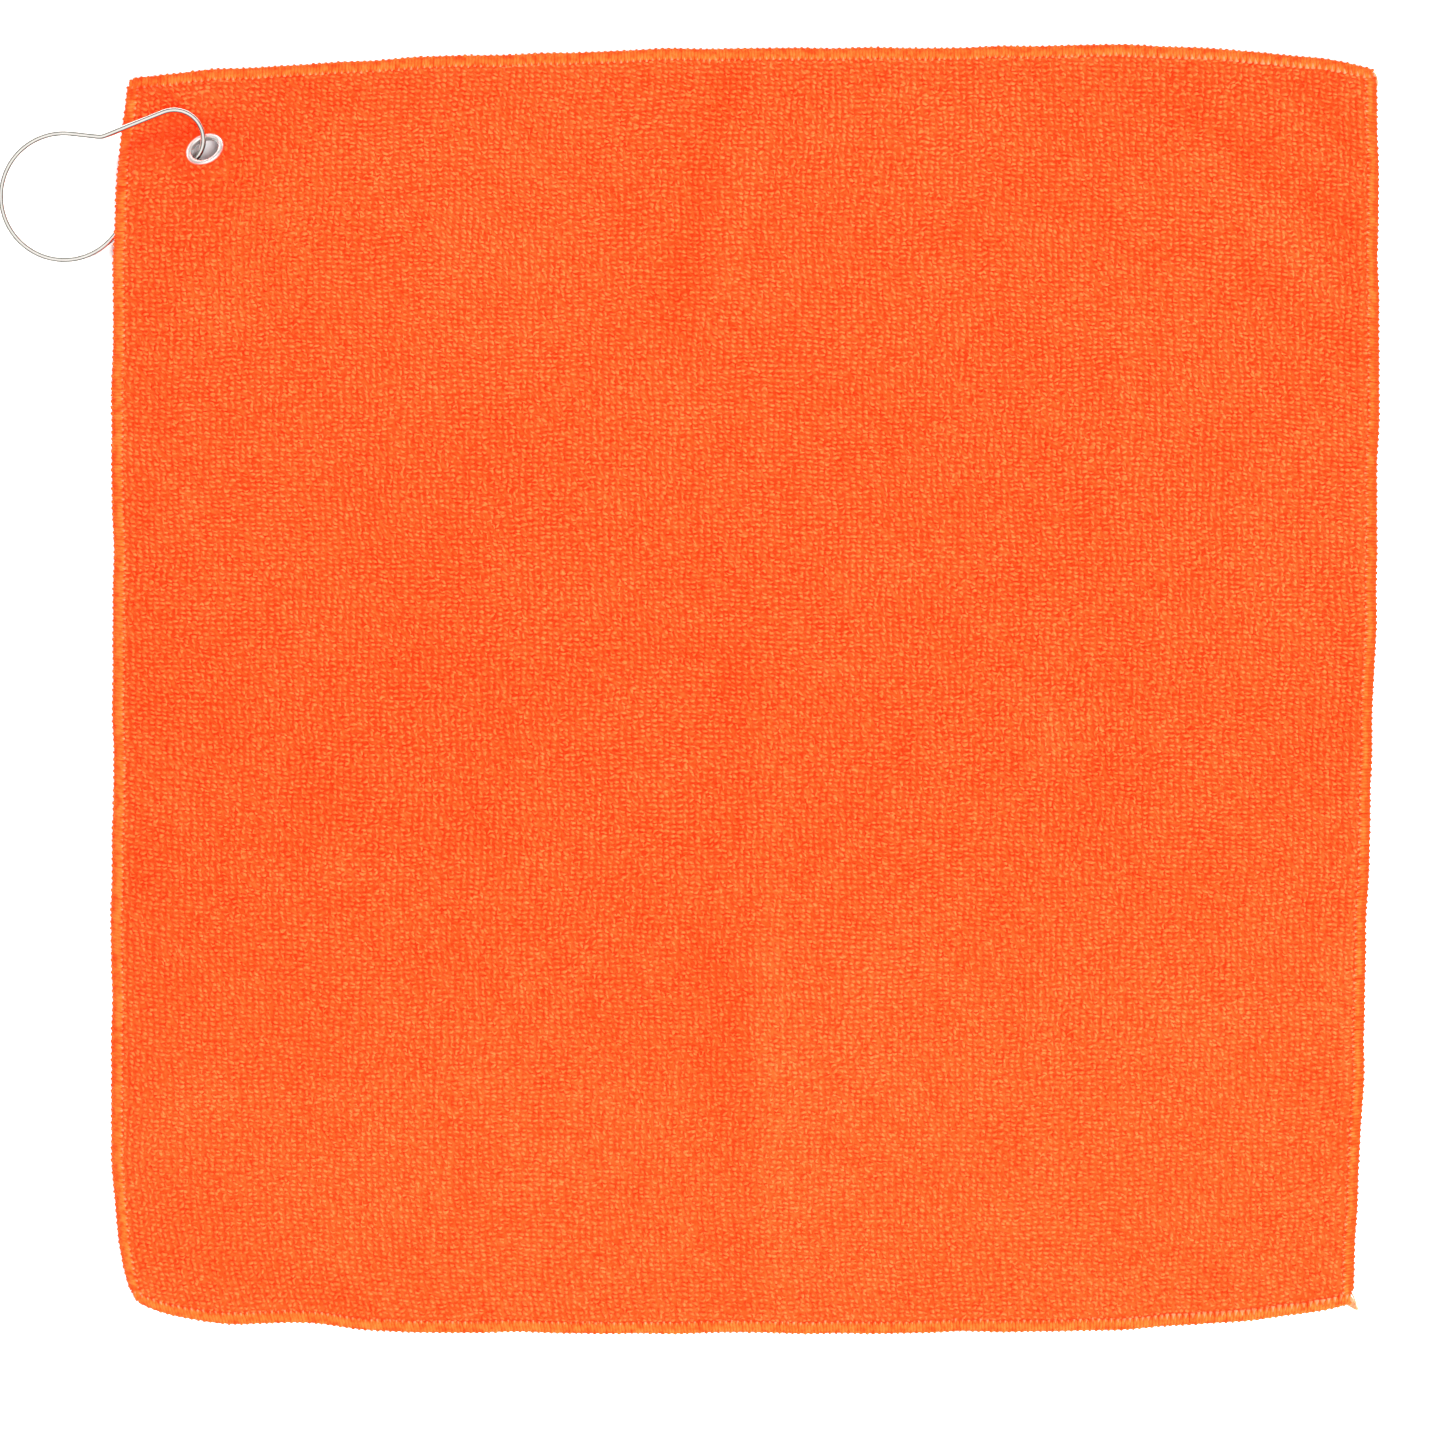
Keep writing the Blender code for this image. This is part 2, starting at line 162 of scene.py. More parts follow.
def wrinkles(x, y):
    """Fold marks and gentle waves of a towel unfolded and laid down."""
    z = np.zeros_like(x)
    for fold in FOLDS:
        z += crease(x, y, *fold)
    z += 0.55 * np.sin(x / 41.0 + 0.9 * np.sin(y / 57.0)) * np.sin(y / 49.0 + 1.3)
    z += 0.22 * np.sin(x / 17.0 + y / 29.0 + 0.7) * np.sin(y / 21.0 - x / 37.0)
    z += 0.10 * np.sin(x / 7.0 - y / 11.0) * np.sin(y / 8.0 + x / 13.0)
    return z


TENT_HEIGHT = 9.0
TENT_SLOPE = 0.11
BULGE_HEIGHT = 5.0
BULGE_REACH = 26.0
DROOP_HEIGHT = 1.5
DROOP_REACH = 20.0
WRINKLE_LIFT = 0.45
WRINKLE_FLOOR = -0.15


def middle_height(x, y):
    """Height of the cloth's middle surface: lying flat, lifted by the clip's wire near the eyelet."""
    flat = CLOTH_THICKNESS / 2.0
    dx = x - EYELET_CENTRE[0]
    dy = y - EYELET_CENTRE[1]
    reach = np.hypot(dx, dy)
    turn = np.degrees(np.arctan2(dy, dx)) % 360.0
    turn = np.where(turn < 90.0, turn + 360.0, turn)
    # The lift covers a sector round the eyelet that begins at the left edge and dies out to the lower right.
    start = 160.0 + 18.0 * ease((reach - 14.0) / 14.0)
    raised = ease((turn - start) / (205.0 - start)) * (1.0 - ease((turn - 300.0) / 130.0))
    plateau = 42.0 - 20.0 * ease((turn - 245.0) / 55.0)
    bulge = BULGE_HEIGHT * ease((turn - 230.0) / 60.0) * (1.0 - ease((turn - 350.0) / 60.0))
    slope = np.maximum(TENT_HEIGHT - TENT_SLOPE * reach, 0.0)
    rise = slope + bulge * np.exp(-((reach / BULGE_REACH) ** 2))
    tent = rise * (1.0 - ease((reach - plateau) / 38.0))
    droop = DROOP_HEIGHT * np.exp(-reach / DROOP_REACH) * (1.0 - ease((reach - 30.0) / 45.0))
    far = flat + raised * tent + (1.0 - raised) * droop
    # Close to the eyelet the cloth follows the eyelet's own leaning plane.
    near = EYELET_CENTRE[2] - (EYELET_NORMAL[0] * dx + EYELET_NORMAL[1] * dy) / EYELET_NORMAL[2]
    away = ease((eyelet_distance(x, y) - 7.0) / 7.0)
    lifted = np.maximum(near * (1.0 - away) + far * away, flat)
    settled = ease((reach - 45.0) / 35.0)
    return lifted + settled * np.maximum(wrinkles(x, y) + WRINKLE_LIFT, WRINKLE_FLOOR)


def cloth_normal(x, y):
    """Upward unit normals of the middle surface."""
    step = 0.4
    gx = (middle_height(x + step, y) - middle_height(x - step, y)) / (2 * step)
    gy = (middle_height(x, y + step) - middle_height(x, y - step)) / (2 * step)
    normal = np.stack([-gx, -gy, np.ones_like(gx)], -1)
    return normal / np.linalg.norm(normal, axis=-1, keepdims=True)


def on_cloth(across, up, level):
    """Points at a level above or below the cloth's middle surface, and the normals there."""
    spot = place(across, up)
    x, y = spot[..., 0], spot[..., 1]
    normal = cloth_normal(x, y)
    base = np.stack([x, y, middle_height(x, y)], -1)
    return base + normal * np.asarray(level, float)[..., None], normal


# ---------------------------------------------------------------- mesh and object helpers


def mesh_object(name, points, faces, material):
    """Smooth mesh object from arrays of points in millimetres and of faces of one size."""
    faces = np.asarray(faces, np.int32)
    mesh = bpy.data.meshes.new(name)
    mesh.vertices.add(len(points))
    mesh.vertices.foreach_set("co", (np.asarray(points) * MM).astype(np.float32).ravel())
    mesh.loops.add(faces.size)
    mesh.loops.foreach_set("vertex_index", faces.ravel())
    mesh.polygons.add(len(faces))
    mesh.polygons.foreach_set("loop_start", np.arange(len(faces), dtype=np.int32) * faces.shape[1])
    mesh.polygons.foreach_set("use_smooth", np.full(len(faces), True))
    mesh.update()
    mesh.materials.append(material)
    item = bpy.data.objects.new(name, mesh)
    bpy.context.scene.collection.objects.link(item)
    return item


def sweep(path, ups, half_width, half_height, sides):
    """Points and triangles of a closed tube along a path; its section is an ellipse standing on ups."""
    path = np.asarray(path, float)
    count = len(path)
    way = np.gradient(path, axis=0)
    way /= np.linalg.norm(way, axis=1, keepdims=True)
    ups = np.broadcast_to(np.asarray(ups, float), path.shape)
    across = np.cross(way, ups)
    across /= np.linalg.norm(across, axis=1, keepdims=True)
    rise = np.cross(across, way)
    angle = np.arange(sides) * 2 * math.pi / sides
    wide = np.broadcast_to(np.asarray(half_width, float), (count,))[:, None, None]
    high = np.broadcast_to(np.asarray(half_height, float), (count,))[:, None, None]
    ring = (across[:, None] * np.cos(angle)[None, :, None] * wide
            + rise[:, None] * np.sin(angle)[None, :, None] * high)
    points = np.concatenate([(path[:, None] + ring).reshape(-1, 3), path[:1], path[-1:]])
    i, j = np.meshgrid(np.arange(count - 1), np.arange(sides), indexing="ij")
    a = i * sides + j
    b = i * sides + (j + 1) % sides
    first, last, end = count * sides, count * sides + 1, (count - 1) * sides
    j = np.arange(sides)
    k = (j + 1) % sides
    faces = np.concatenate([
        np.stack([a, b, b + sides], -1).reshape(-1, 3),
        np.stack([a, b + sides, a + sides], -1).reshape(-1, 3),
        np.stack([np.full(sides, first), k, j], -1),
        np.stack([np.full(sides, last), end + j, end + k], -1),
    ])
    return points, faces[:, ::-1]


def join(parts):
    """One pair of points and faces from several."""
    points, faces, total = [], [], 0
    for some_points, some_faces in parts:
        points.append(some_points)
        faces.append(some_faces + total)
        total += len(some_points)
    return np.concatenate(points), np.concatenate(faces)


FLOOR_SQUEEZE = 0.15


def pressed(points):
    """Points with their lowest part squeezed flat, as the floor presses the cloth."""
    points = np.array(points, float)
    height = points[:, 2]
    squeezed = FLOOR_SQUEEZE * np.exp(np.minimum(height, FLOOR_SQUEEZE) / FLOOR_SQUEEZE - 1.0)
    points[:, 2] = np.where(height < FLOOR_SQUEEZE, squeezed, height)
    return points


def bean(rings, sides):
    """Unit ellipsoid with its poles on X, as points and triangles."""
    points = [(-1.0, 0.0, 0.0)]
    for i in range(1, rings + 1):
        lat = math.pi * i / (rings + 1)
        for j in range(sides):
            lon = 2 * math.pi * (j + 0.25) / sides
            points.append((
                -math.cos(lat), math.sin(lat) * math.cos(lon), math.sin(lat) * math.sin(lon)))
    points.append((1.0, 0.0, 0.0))
    faces = []
    last = len(points) - 1
    for j in range(sides):
        k = (j + 1) % sides
        faces.append((0, 1 + k, 1 + j))
        faces.append((last, last - sides + j, last - sides + k))
        for i in range(rings - 1):
            a, b = 1 + i * sides + j, 1 + i * sides + k
            faces.append((a, b, b + sides))
            faces.append((a, b + sides, a + sides))
    return np.array(points), np.array(faces)


def scatter(shape, spots, normals, yaw, sizes, arch, hook, roll):
    """Copies of a bean at spots: turned by yaw, sized, arched over, hooked sideways and rolled."""
    unit, faces = shape
    body = unit[None] * sizes[:, None, :]
    body[..., 1] += hook[:, None] * (unit[None, :, 0] ** 2 - 0.4)
    body[..., 2] -= arch[:, None] * unit[None, :, 0] ** 2
    c, s = np.cos(roll)[:, None], np.sin(roll)[:, None]
    y = body[..., 1] * c - body[..., 2] * s
    z = body[..., 1] * s + body[..., 2] * c
    side = np.cross(np.array([0.0, 1.0, 0.0]), normals)
    side /= np.linalg.norm(side, axis=1, keepdims=True)
    deep = np.cross(normals, side)
    cy, sy = np.cos(yaw)[:, None], np.sin(yaw)[:, None]
    long_way = side * cy + deep * sy
    wide_way = deep * cy - side * sy
    points = (spots[:, None] + body[..., :1] * long_way[:, None]
              + y[..., None] * wide_way[:, None] + z[..., None] * normals[:, None])
    shift = (np.arange(len(spots)) * len(unit))[:, None, None]
    return points.reshape(-1, 3), (faces[None] + shift).reshape(-1, 3)


# ---------------------------------------------------------------- painted light and shade


PATCH_FIELD = 500.0


def patches(x, y, size, seed):
    """Smooth random field, about -1 to 1, with features of a given size."""
    cells = int(PATCH_FIELD / size) + 2
    values = np.random.default_rng(seed).normal(0.0, 0.6, (cells, cells))
    u = np.clip((x + PATCH_FIELD / 2) / size, 0.0, cells - 1.01)
    v = np.clip((y + PATCH_FIELD / 2) / size, 0.0, cells - 1.01)
    i, j = u.astype(int), v.astype(int)
    a, b = ease(u - i), ease(v - j)
    low = values[i, j] * (1 - a) + values[i + 1, j] * a
    high = values[i, j + 1] * (1 - a) + values[i + 1, j + 1] * a
    return low * (1 - b) + high * b


# Bands of painted light and shade on the pile beside the fold marks: start, end, tone, width, fade.
PAINTED_FOLD_LIGHT_BANDS = (
    ((-5.0, 0.0), (-5.0, -190.0), -0.35, 8.0, 18.0),
    ((8.0, -25.0), (8.0, -192.0), 0.35, 4.0, 18.0),
    ((-110.0, 8.0), (0.0, 8.0), -0.32, 9.0, 18.0),
    ((-3.0, 190.0), (-22.0, 112.0), -1.3, 5.0, 18.0),
    ((7.0, 176.0), (-11.0, 105.0), 0.6, 4.0, 18.0),
    ((130.0, 179.0), (184.0, 133.0), -1.0, 4.0, 10.0),
    ((142.0, 136.0), (184.0, 100.0), -0.7, 4.5, 10.0),
    ((165.0, 182.0), (185.0, 155.0), -0.8, 4.0, 8.0),
    ((134.0, 160.0), (179.0, 118.0), 0.8, 7.0, 10.0),
    ((-178.0, 120.0), (-120.0, 186.0), -0.5, 14.0, 18.0),
    ((150.0, 180.0), (184.0, 151.0), 0.5, 4.0, 8.0),
    ((-174.0, -169.0), (-112.0, -182.0), -0.9, 5.0, 10.0),
)


def painted_light_tone(x, y):
    """Painted light and shade on the pile: lighter to the lower right and towards the top, lighter and
    darker beside the fold marks, with random patches of tone.
    """
    # Painted light: lighter to the lower right, darker on the left above the lower fold, lighter towards the
    # top, with painted bands along the folds and a painted dark spot near the lower right. The patches are
    # random tone.
    right = ease((x - 1.0) / 5.0)
    above = ease((y + 118.0) / 3.0)
    tone = 0.20 * right * ease(-y / 150.0)
    tone -= 0.12 * (1.0 - right) * above * ease((120.0 - y) / 110.0) * ease((y + 190.0) / 110.0)
    tone += 0.05 * (1.0 - right) * (1.0 - above)
    for band in PAINTED_FOLD_LIGHT_BANDS:
        tone += crease(x, y, *band)
    tone -= 0.4 * np.exp(-((x - 146.0) ** 2 + (y + 153.0) ** 2) / 90.0)
    tone += 0.42 * patches(x, y, 8.5, 5) + 0.30 * patches(x, y, 24.0, 6)
    tone += 0.40 * ease((y + 40.0) / 180.0)
    return tone


def paint_light_tone(item, tone=None):
    """Write the painted light and shade tone on a piece's vertices for its material to read."""
    if tone is None:
        spots = np.empty(3 * len(item.data.vertices), np.float32)
        item.data.vertices.foreach_get("co", spots)
        spots = spots.reshape(-1, 3) / MM
        tone = painted_light_tone(spots[:, 0], spots[:, 1])
    layer = item.data.attributes.new("painted_light", "FLOAT", "POINT")
    layer.data.foreach_set("value", np.asarray(tone, np.float32))


# ---------------------------------------------------------------- materials


def new_material(name):
    """Material with its nodes and its Principled shader."""
    material = bpy.data.materials.new(name)
    material.use_nodes = True
    tree = material.node_tree
    return material, tree, tree.nodes["Principled BSDF"]


def noise_node(tree, scale, detail):
    """Noise texture in object space."""
    node = tree.nodes.new("ShaderNodeTexNoise")
    node.inputs["Scale"].default_value = scale
    node.inputs["Detail"].default_value = detail
    coordinates = tree.nodes.new("ShaderNodeTexCoord")
    tree.links.new(coordinates.outputs["Object"], node.inputs["Vector"])
    return node


def ramp_node(tree, source, stops):
    """Colour ramp with (position, colour) stops in rising order."""
    node = tree.nodes.new("ShaderNodeValToRGB")
    for position, _ in stops[2:]:
        node.color_ramp.elements.new(position)
    for element, (position, colour) in zip(node.color_ramp.elements, stops):
        element.position = position
        element.color = (*colour, 1.0)
    tree.links.new(source, node.inputs["Fac"])
    return node


def add_bump(tree, shader, source, strength, distance):
    """Relief on a shader from a height source."""
    node = tree.nodes.new("ShaderNodeBump")
    node.inputs["Strength"].default_value = strength
    node.inputs["Distance"].default_value = distance
    tree.links.new(source, node.inputs["Height"])
    tree.links.new(node.outputs["Normal"], shader.inputs["Normal"])


GRAIN_SCALE = 560.0
PAINTED_LIGHT_SHARE = 0.095
FIBRE_STRENGTH = 0.35


def cloth_material(name, shades, roughness, sheen, fibre_scale, relief=0.0002):
    """Soft dyed fibre: colour that varies from loop to loop, painted light and shade read from the vertices,
    sheen and a fine fibre relief.
    """
    material, tree, shader = new_material(name)
    grain = noise_node(tree, GRAIN_SCALE, 3.0)
    # The vertices' painted light and shade shifts the colour, on top of the random grain.
    painted_light = tree.nodes.new("ShaderNodeAttribute")
    painted_light.attribute_name = "painted_light"
    tone = tree.nodes.new("ShaderNodeMath")
    tone.operation = "MULTIPLY_ADD"
    tone.inputs[1].default_value = PAINTED_LIGHT_SHARE
    tree.links.new(painted_light.outputs["Fac"], tone.inputs[0])
    tree.links.new(grain.outputs["Fac"], tone.inputs[2])
    ramp = ramp_node(tree, tone.outputs["Value"], list(zip((0.34, 0.5, 0.66), shades)))
    tree.links.new(ramp.outputs["Color"], shader.inputs["Base Color"])
    shader.inputs["Roughness"].default_value = roughness
    shader.inputs["Specular IOR Level"].default_value = 0.15
    shader.inputs["Sheen Weight"].default_value = sheen
    shader.inputs["Sheen Roughness"].default_value = 0.4
    shader.inputs["Sheen Tint"].default_value = (1.0, 0.42, 0.16, 1.0)
    fibre = noise_node(tree, fibre_scale, 2.0)
    add_bump(tree, shader, fibre.outputs["Fac"], FIBRE_STRENGTH, relief)
    return material


def metal_material(name, colour, roughness, metallic=1.0):
    """Bright plated metal with faint handling marks."""
    material, tree, shader = new_material(name)
    marks = noise_node(tree, 260.0, 5.0)
    worn_colour = tuple(c * 0.9 for c in colour)
    tone = ramp_node(tree, marks.outputs["Fac"], [(0.3, worn_colour), (0.7, colour)])
    tree.links.new(tone.outputs["Color"], shader.inputs["Base Color"])
    shader.inputs["Metallic"].default_value = metallic
    wear = tree.nodes.new("ShaderNodeMapRange")
    wear.inputs["To Min"].default_value = roughness * 0.6
    wear.inputs["To Max"].default_value = roughness * 1.6
    tree.links.new(marks.outputs["Fac"], wear.inputs["Value"])
    tree.links.new(wear.outputs["Result"], shader.inputs["Roughness"])
    dents = noise_node(tree, 900.0, 2.0)
    add_bump(tree, shader, dents.outputs["Fac"], 0.04, 0.0001)
    return material


LOOPS = cloth_material(
    "terry_loops", ((0.96, 0.064, 0.0120), (0.98, 0.083, 0.0175), (1.0, 0.108, 0.0270)),
    roughness=0.6, sheen=0.08, fibre_scale=2000.0, relief=0.0008)
# Painted shade: the ground's darker shades stand for the shadow in the gaps between the loops.
GROUND_GAP_SHADE = cloth_material(
    "terry_ground", ((0.94, 0.034, 0.0045), (0.96, 0.045, 0.0070), (0.98, 0.058, 0.0105)),
    roughness=0.9, sheen=0.03, fibre_scale=2600.0)
HEM = cloth_material(
    "hem_thread", ((0.96, 0.042, 0.0050), (0.98, 0.076, 0.0105), (1.0, 0.102, 0.0170)),
    roughness=0.7, sheen=0.06, fibre_scale=6000.0)
NEEDLE = cloth_material(
    "needle_thread", ((1.0, 0.100, 0.035), (1.0, 0.130, 0.054), (1.0, 0.165, 0.078)),
    roughness=0.7, sheen=0.1, fibre_scale=6000.0)
TAIL = cloth_material(
    "thread_tail", ((1.0, 0.180, 0.080), (1.0, 0.230, 0.115), (1.0, 0.290, 0.165)),
    roughness=0.6, sheen=0.2, fibre_scale=6000.0)
NICKEL = metal_material("nickel_plate", (0.90, 0.85, 0.82), roughness=0.22, metallic=0.7)
STEEL = metal_material("spring_wire", (0.76, 0.73, 0.68), roughness=0.12)


# ---------------------------------------------------------------- cloth and pile

CLOTH_INSET = 0.9
HEM_INSET = 3.4
GROUND_HALF = 0.55
HEM_HALF = 0.45
CLAMPED_HALF = 0.38
FINE_STEP = 1.0
COARSE_STEP = 2.4
HOLE_RADIUS = 4.75
HOLE_DEPTH = 9.0


def grid_marks(length, start, end):
    """Grid distances over the sheet, closer together between start and end."""
    marks = [CLOTH_INSET]
    while marks[-1] < length - CLOTH_INSET:
        step = FINE_STEP if start <= marks[-1] < end else COARSE_STEP
        marks.append(min(marks[-1] + step, length - CLOTH_INSET))
    return np.array(marks)


def edge_inset(across, up):
    """Distance to the nearest edge."""
    return np.minimum(np.minimum(across, WIDTH - across), np.minimum(up, HEIGHT - up))


def eyelet_frame():
    """Matrix with its Z along the eyelet's axis, in metres."""
    turn = Vector(EYELET_NORMAL).to_track_quat("Z", "Y").to_matrix().to_4x4()
    return Matrix.Translation(Vector(EYELET_CENTRE) * MM) @ turn


def make_ground():
    """The knitted ground of the cloth, one closed sheet with the eyelet's hole through it."""
    columns = grid_marks(WIDTH, 8.0, 44.0)
    rows = grid_marks(HEIGHT, HEIGHT - 46.0, HEIGHT - 6.0)
    across, up = np.meshgrid(columns, rows)
    half = np.where(edge_inset(across, up) < HEM_INSET, HEM_HALF, GROUND_HALF)
    spot = place(across, up)
    clamp = ease((eyelet_distance(spot[..., 0], spot[..., 1]) - 6.6) / 2.0)
    half = CLAMPED_HALF + (half - CLAMPED_HALF) * clamp
    upper = on_cloth(across, up, half)[0].reshape(-1, 3)
    lower = on_cloth(across, up, -half)[0].reshape(-1, 3)
    tall, wide = across.shape
    i, j = np.meshgrid(np.arange(tall - 1), np.arange(wide - 1), indexing="ij")
    a = i * wide + j
    quads = np.stack([a, a + 1, a + wide + 1, a + wide], -1).reshape(-1, 4)
    count = len(upper)
    rim = np.concatenate([
        np.arange(wide),
        np.arange(1, tall) * wide + wide - 1,
        (tall - 1) * wide + np.arange(wide - 2, -1, -1),
        np.arange(tall - 2, 0, -1) * wide,
    ])
    follow = np.roll(rim, -1)
    side = np.stack([rim, rim + count, follow + count, follow], -1)
    faces = np.concatenate([quads, quads[:, ::-1] + count, side])
    ground = mesh_object("terry_ground", np.concatenate([upper, lower]), faces, GROUND_GAP_SHADE)
    bpy.ops.mesh.primitive_cylinder_add(vertices=48, radius=HOLE_RADIUS * MM, depth=HOLE_DEPTH * MM)
    cutter = bpy.context.object
    cutter.matrix_world = eyelet_frame()
    hole = ground.modifiers.new("Eyelet hole", "BOOLEAN")
    hole.operation = "DIFFERENCE"
    hole.solver = "EXACT"
    hole.object = cutter
    graph = bpy.context.evaluated_depsgraph_get()
    mesh = bpy.data.meshes.new_from_object(ground.evaluated_get(graph))
    ground.modifiers.clear()
    ground.data = mesh
    bpy.data.objects.remove(cutter)
    return ground


WALE = 1.85
COURSE = 1.43
DRIFT = 0.7
LOOP_LENGTH = 1.02
LOOP_WIDTH = 0.46
LOOP_HEIGHT = 0.90
LOOP_STAND = 0.34
LOOP_ARCH = 0.72
LOOP_TURN = -27.0
EYELET_CLEARANCE = 6.75


def pile_spots():
    """Places of the loops: wales and courses with the knit's unevenness."""
    columns = np.arange(HEM_INSET + 0.35, WIDTH - HEM_INSET - 0.1, WALE)
    rows = np.arange(HEM_INSET + 0.35, HEIGHT - HEM_INSET - 0.1, COURSE)
    across, up = np.meshgrid(columns, rows)
    across = across.ravel()
    up = up.ravel()
    drift_x = 0.45 * np.sin(up / 9.0 + across / 31.0) + 0.3 * np.sin(up / 3.7 - across / 5.0)
    drift_y = 0.45 * np.sin(across / 8.0 - up / 27.0) + 0.3 * np.sin(across / 3.3 + up / 6.0)
    across = across + drift_x * DRIFT + RNG.normal(0.0, 0.22, len(across))
    up = up + drift_y * DRIFT + RNG.normal(0.0, 0.19, len(up))
    return across, up


def make_pile(side, shape, chunks):
    """Loops of one face of the cloth, split into a few pieces."""
    across, up = pile_spots()
    spot = place(across, up)
    keep = eyelet_distance(spot[:, 0], spot[:, 1]) > EYELET_CLEARANCE
    across, up = across[keep], up[keep]
    count = len(across)
    # Loops are short beside the hem, worn low and broad in the lower half, and lie in clumps and patches.
    short = 0.7 + 0.3 * ease((edge_inset(across, up) - HEM_INSET) / 2.5)
    worn = ease((0.5 * HEIGHT - up) / 140.0)
    clump = np.sin(across / 13.0 + 2.0 * np.sin(up / 17.0)) * np.cos(up / 11.0)
    patch = np.sin(across / 29.0 + 1.7 * np.sin(up / 37.0))
    patch = patch * np.sin(up / 23.0 + 1.1 * np.sin(across / 41.0))
    rise = (GROUND_HALF + LOOP_STAND + RNG.normal(0.0, 0.15, count)) * short * (1.0 - 0.15 * worn)
    spots, normals = on_cloth(across, up, side * rise)
    normals = normals * side
    tilt = np.stack([0.10 * patch, 0.16 * clump * patch, np.zeros(count)], -1)
    normals = normals + tilt + RNG.normal(0.0, 0.09, (count, 3))
    normals /= np.linalg.norm(normals, axis=1, keepdims=True)
    sizes = np.stack([
        RNG.normal(LOOP_LENGTH, 0.13, count),
        RNG.normal(LOOP_WIDTH, 0.07, count) * (1.0 + 0.12 * worn),
        RNG.normal(LOOP_HEIGHT, 0.10, count) * short * (1.0 - 0.33 * worn),
    ], -1)
    yaw = np.radians(LOOP_TURN + 14.0 * clump + (21.0 + 12.0 * patch) * RNG.normal(0.0, 1.0, count))
    arch = np.abs(RNG.normal(LOOP_ARCH, 0.20, count))
    hook = RNG.normal(0.0, 0.42, count)
    roll = RNG.normal(0.0, 0.30, count)
    order = np.argsort(up, kind="stable")
    face = "front" if side > 0 else "back"
    made = []
    for k, some in enumerate(np.array_split(order, chunks)):
        picked = [values[some] for values in (spots, normals, yaw, sizes, arch, hook, roll)]
        points, faces = scatter(shape, *picked)
        made.append(mesh_object(f"terry_loops_{face}_{k + 1}", pressed(points), faces, LOOPS))
    return made


# ---------------------------------------------------------------- overlocked hem

STITCH = 1.88


def on_edge(edge, along, inset):
    """Distances from the left and bottom edges of points near one edge."""
    if edge == "top":
        return along, HEIGHT - inset
    if edge == "bottom":
        return along, inset
    if edge == "left":
        return inset, along
    return WIDTH - inset, along


def edge_span(edge):
    """Where an edge's own run of stitches begins and ends."""
    if edge in ("top", "bottom"):
        return 0.5, WIDTH - 0.8
    return 2.7, HEIGHT - 2.7


def hem_points(edge, along, inset, level):
    """Points of the hem and the cloth's normals there."""
    along, inset, level = np.broadcast_arrays(
        np.asarray(along, float), np.asarray(inset, float), np.asarray(level, float))
    across, up = on_edge(edge, along, inset)
    return on_cloth(across, up, level)


def stitch_marks(edge):
    """Where the stitches fall along an edge, a little uneven."""
    start, end = edge_span(edge)
    count = int((end - start) / STITCH)
    marks = start + (np.arange(count) + 0.5) * (end - start) / count
    return marks + RNG.normal(0.0, 0.07, count)


# One stitch of a looper thread, out over the edge and back: share of the pitch, inset and level.
LOOPER_STEPS = np.array([-0.25, -0.25, -0.25, -0.20, 0.0, 0.20, 0.25, 0.25, 0.25, 0.5])
LOOPER_INSETS = np.array([0.55, 1.1, 2.0, 2.75, 3.00, 2.75, 2.0, 1.1, 0.55, 0.44])
LOOPER_LEVELS = np.array([0.40, 0.76, 0.94, 0.86, 0.70, 0.86, 0.94, 0.76, 0.40, 0.10])
LOOPER_HALVES = (0.54, 0.30)
CORD_INSET = 0.62
CORD_HALVES = (0.56, 0.5)
KNOT_INSET = 0.3
HEM_TONE = 0.3
THREAD_SIDES = 8


def edge_knots(edge, marks, pitch):
    """Knots of the looper threads between the stitches, outermost on the edge."""
    knots, normals = hem_points(edge, marks + 0.5 * pitch, KNOT_INSET, 0.1)
    count = len(knots)
    sizes = np.stack([
        RNG.normal(0.56, 0.05, count),
        RNG.normal(0.58, 0.05, count),
        RNG.normal(0.56, 0.04, count),
    ], -1)
    yaw = RNG.normal(0.0, 0.2, count)
    if edge in ("left", "right"):
        yaw = yaw + math.pi / 2
    none = np.zeros(count)
    return scatter(bean(4, THREAD_SIDES), knots, normals, yaw, sizes, none, none, none)


def looper(name, edge, side, marks):
    """Looper thread: legs laid side by side over one face of the hem, knotting round the edge, with painted
    shade on its outer part.
    """
    pitch = float(np.mean(np.diff(marks)))
    shape = (len(marks), len(LOOPER_STEPS))
    along = (marks[:, None] + LOOPER_STEPS * pitch).ravel()
    inset = (LOOPER_INSETS + RNG.normal(0.0, 0.05, shape)).ravel()
    level = (LOOPER_LEVELS * side + RNG.normal(0.0, 0.02, shape)).ravel()
    path, ups = hem_points(edge, along, inset, level)
    parts = [sweep(path, ups * side, *LOOPER_HALVES, THREAD_SIDES)]
    # Painted shade: the thread darkens towards the outer edge, strongly on the right edge; the rest of its
    # tone differs at random.
    fall = 3.0 if edge == "right" else 0.4
    painted_edge_shade = HEM_TONE + fall * (ease((inset - 0.7) / 1.5) - 1.0)
    shade = np.repeat(painted_edge_shade + RNG.normal(0.0, 0.25, len(inset)), THREAD_SIDES)
    if side > 0:
        core = np.repeat(marks, 2) + np.tile([0.0, 0.5], len(marks)) * pitch
        line, normals = hem_points(edge, core, CORD_INSET, 0.0)
        parts.append(sweep(line, normals, *CORD_HALVES, THREAD_SIDES))
        parts.append(edge_knots(edge, marks, pitch))
    points, faces = join(parts)
    hem_piece = mesh_object(name, pressed(points), faces, HEM)
    # The cord and the edge knots take the darkest painted edge shade.
    tone = np.full(len(points), HEM_TONE - fall)
    tone[:len(shade)] = shade
    paint_light_tone(hem_piece, tone)
    return hem_piece


# One needle stitch from its heel at the hem's inner line: share of its length, half width and half height.
STITCH_SHARES = np.array([0.0, 0.12, 0.35, 0.65, 1.0])
STITCH_WIDTHS = np.array([0.30, 0.56, 0.42, 0.22, 0.05])
STITCH_HEIGHTS = np.array([0.08, 0.17, 0.17, 0.12, 0.05])


